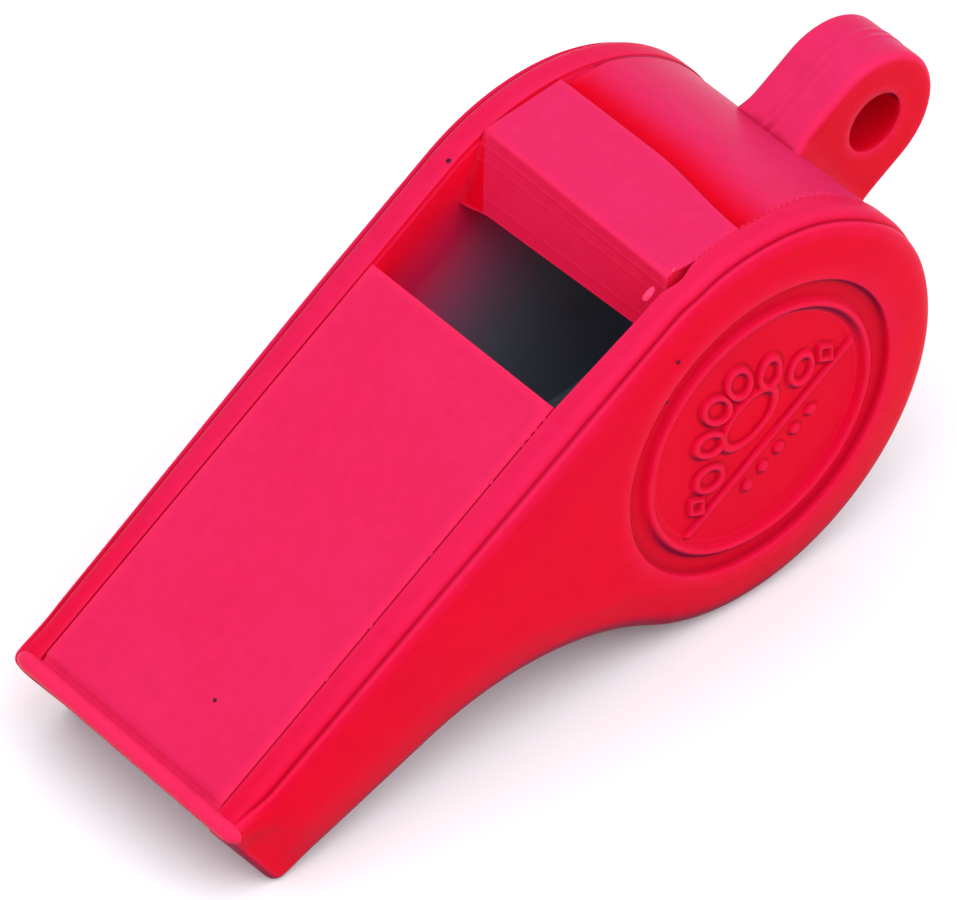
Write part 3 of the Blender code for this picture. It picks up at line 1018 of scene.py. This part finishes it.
def cork(name):
    """Bare cork: warm grains, dark pores and no shine."""
    mat, tree, shader = new_material(name, (0.42, 0.25, 0.12))
    link = tree.links.new
    shader.inputs["Specular IOR Level"].default_value = 0.25
    where = node(tree, "ShaderNodeTexCoord").outputs["Object"]
    grains = node(tree, "ShaderNodeTexVoronoi", Scale=1100.0)
    link(where, grains.inputs["Vector"])
    cells = ramp(tree, grains.outputs["Color"], [(0.1, CORK_DARK), (0.9, CORK_PALE)])
    pores = noise_at(tree, where, Scale=520.0, Detail=5.0, Roughness=0.7)
    dark = ramp(tree, pores, [(0.36, CORK_PORE), (0.50, (1, 1, 1))])
    link(blend(tree, 1.0, cells, dark, "MULTIPLY"), shader.inputs["Base Color"])
    link(linear_range(tree, pores, wanted=(0.72, 0.95)), shader.inputs["Roughness"])
    bump = node(tree, "ShaderNodeBump", Strength=0.6, Distance=0.12 * MM)
    link(pores, bump.inputs["Height"])
    link(bump.outputs["Normal"], shader.inputs["Normal"])
    return mat


def dirt(name):
    """Dull dark grains."""
    mat, tree, shader = new_material(name, (0.10, 0.004, 0.01))
    where = node(tree, "ShaderNodeTexCoord").outputs["Object"]
    grit = noise_at(tree, where, Scale=6000.0, Detail=3.0)
    tone = ramp(tree, grit, [(0.3, (0.02, 0.008, 0.02)), (0.7, (0.10, 0.015, 0.04))])
    tree.links.new(tone, shader.inputs["Base Color"])
    shader.inputs["Roughness"].default_value = 0.8
    shader.inputs["Specular IOR Level"].default_value = 0.05
    return mat


def floor_material():
    """Dull pale floor that isn't part of the whistle."""
    mat = bpy.data.materials.new("pale_floor")
    mat.use_nodes = True
    shader = mat.node_tree.nodes["Principled BSDF"]
    shader.inputs["Base Color"].default_value = (0.92, 0.92, 0.93, 1)
    shader.inputs["Roughness"].default_value = 0.9
    return mat


# ---------------------------------------------------------------- the whistle

roof_side = resample(roof_outline(), 0.4 * MM)
core_half = SEAM_Y - VISIBLE_GAP / 2
body = carry("moulded_body", core_outline, core_half, EDGE_R, 30, right_seam)
roof = carry("roof_plate", lambda y: roof_side, core_half, EDGE_R, 24)
lug = make_lug()
bead = make_bead()
left = make_cheek("left_side", 1)
right = make_cheek("right_side", -1)
left_disc = make_medallion("left_medallion", 1)
right_disc = make_medallion("right_medallion", -1)
flash = make_flash()
trail = make_trail()
specks = make_specks()
pea = make_pea()

body_red = plastic("body_red", RED, ROSE_PALE, (hollow_shade, bore_shade, lip_shade),
                   gloss_level=0.04, wear_and_painted_light=0.5)
roof_rose = plastic("roof_rose", RED, ROSE, gloss_level=0.10)
cheek_red = plastic("cheek_red", CHEEK_RED, CHEEK_ROSE, (cheek_shade,),
                    gloss_level=0.02, wear_and_painted_light=0.35)
flash_pink = plastic("flash_pink", FLASH_RED, FLASH_ROSE, roughness=0.28)

looks = ((body, body_red, "body_plastic"), (lug, body_red, "body_plastic"),
         (roof, roof_rose, "roof_plastic"), (bead, roof_rose, "roof_plastic"),
         (left, cheek_red, "cheek_plastic"), (right, cheek_red, "cheek_plastic"),
         (left_disc, cheek_red, "cheek_plastic"), (right_disc, cheek_red, "cheek_plastic"),
         (flash, flash_pink, "body_plastic"), (trail, body_red, "body_plastic"),
         (specks, dirt("dirt"), "body_plastic"))
for piece, look, slot_name in looks:
    piece.data.materials.append(look)
    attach(piece, "whistle")
pea.data.materials.append(cork("cork"))
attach(pea, "pea")

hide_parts("chamber_body")
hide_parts("windway_roof")
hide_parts("left_cheek")
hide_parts("right_cheek")
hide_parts("pea")


# ---------------------------------------------------------------- floor, light, camera

floor_mesh = bpy.data.meshes.new("studio_floor")
floor_corners = [(-1.2, -1.2, 0), (1.2, -1.2, 0), (1.2, 1.2, 0), (-1.2, 1.2, 0)]
floor_mesh.from_pydata(floor_corners, [], [(0, 1, 2, 3)])
floor = add_object("studio_floor", floor_mesh)
floor.location.z = -0.02 * MM
floor_mesh.materials.append(floor_material())


def softbox(name, azimuth, elevation, distance, size, power, colour=(1.0, 0.97, 1.0)):
    """Square area light aimed at the whistle; azimuth 0 stands at -Y and 90 at +X."""
    a, e = radians(azimuth), radians(elevation)
    target = Vector((0, 0, 0.012))
    spot = target + distance * Vector((sin(a) * cos(e), -cos(a) * cos(e), sin(e)))
    data = bpy.data.lights.new(name, "AREA")
    data.size = size
    data.energy = power
    data.color = colour
    lamp = add_object(name, data)
    lamp.location = spot
    lamp.rotation_euler = (target - spot).to_track_quat("-Z", "Y").to_euler()


softbox("key", 10, 52, 0.75, 0.90, 4.1)
softbox("overhead", -105, 60, 0.75, 1.10, 3.2)

world = bpy.data.worlds.new("studio")
world.use_nodes = True
sky = world.node_tree.nodes["Background"]
sky.inputs["Color"].default_value = (0.97, 0.97, 1.0, 1)
sky.inputs["Strength"].default_value = 0.80
bpy.context.scene.world = world
bpy.context.scene.view_settings.view_transform = "Standard"

# The camera looks down across the whistle from its right side; these angles and
# distances are in the whistle's own axes.
VIEW_AZIMUTH = radians(-3.10)
VIEW_ELEVATION = radians(56.93)
VIEW_ROLL = radians(-47.54)
VIEW_DISTANCE = 527.2 * MM
VIEW_SIDE = -8.40 * MM
VIEW_RISE = -6.14 * MM
PICTURE_WIDTH = 957
FOCAL_PICTURE_UNITS = 10016
SENSOR = 36.0

back = Vector((sin(VIEW_AZIMUTH) * cos(VIEW_ELEVATION),
               -cos(VIEW_AZIMUTH) * cos(VIEW_ELEVATION), sin(VIEW_ELEVATION)))
across = Vector((cos(VIEW_AZIMUTH), sin(VIEW_AZIMUTH), 0))
upward = back.cross(across)
cam_x = across * cos(VIEW_ROLL) + upward * sin(VIEW_ROLL)
cam_y = upward * cos(VIEW_ROLL) - across * sin(VIEW_ROLL)
pose = Matrix((cam_x, cam_y, back)).transposed().to_4x4()
pose.translation = cam_x * VIEW_SIDE + cam_y * VIEW_RISE + back * VIEW_DISTANCE

camera_data = bpy.data.cameras.new("camera")
camera_data.sensor_width = SENSOR
camera_data.lens = FOCAL_PICTURE_UNITS / PICTURE_WIDTH * SENSOR
camera_data.clip_start = 0.01
camera = add_object("camera", camera_data)
camera.matrix_world = STANCE @ pose
bpy.context.scene.camera = camera
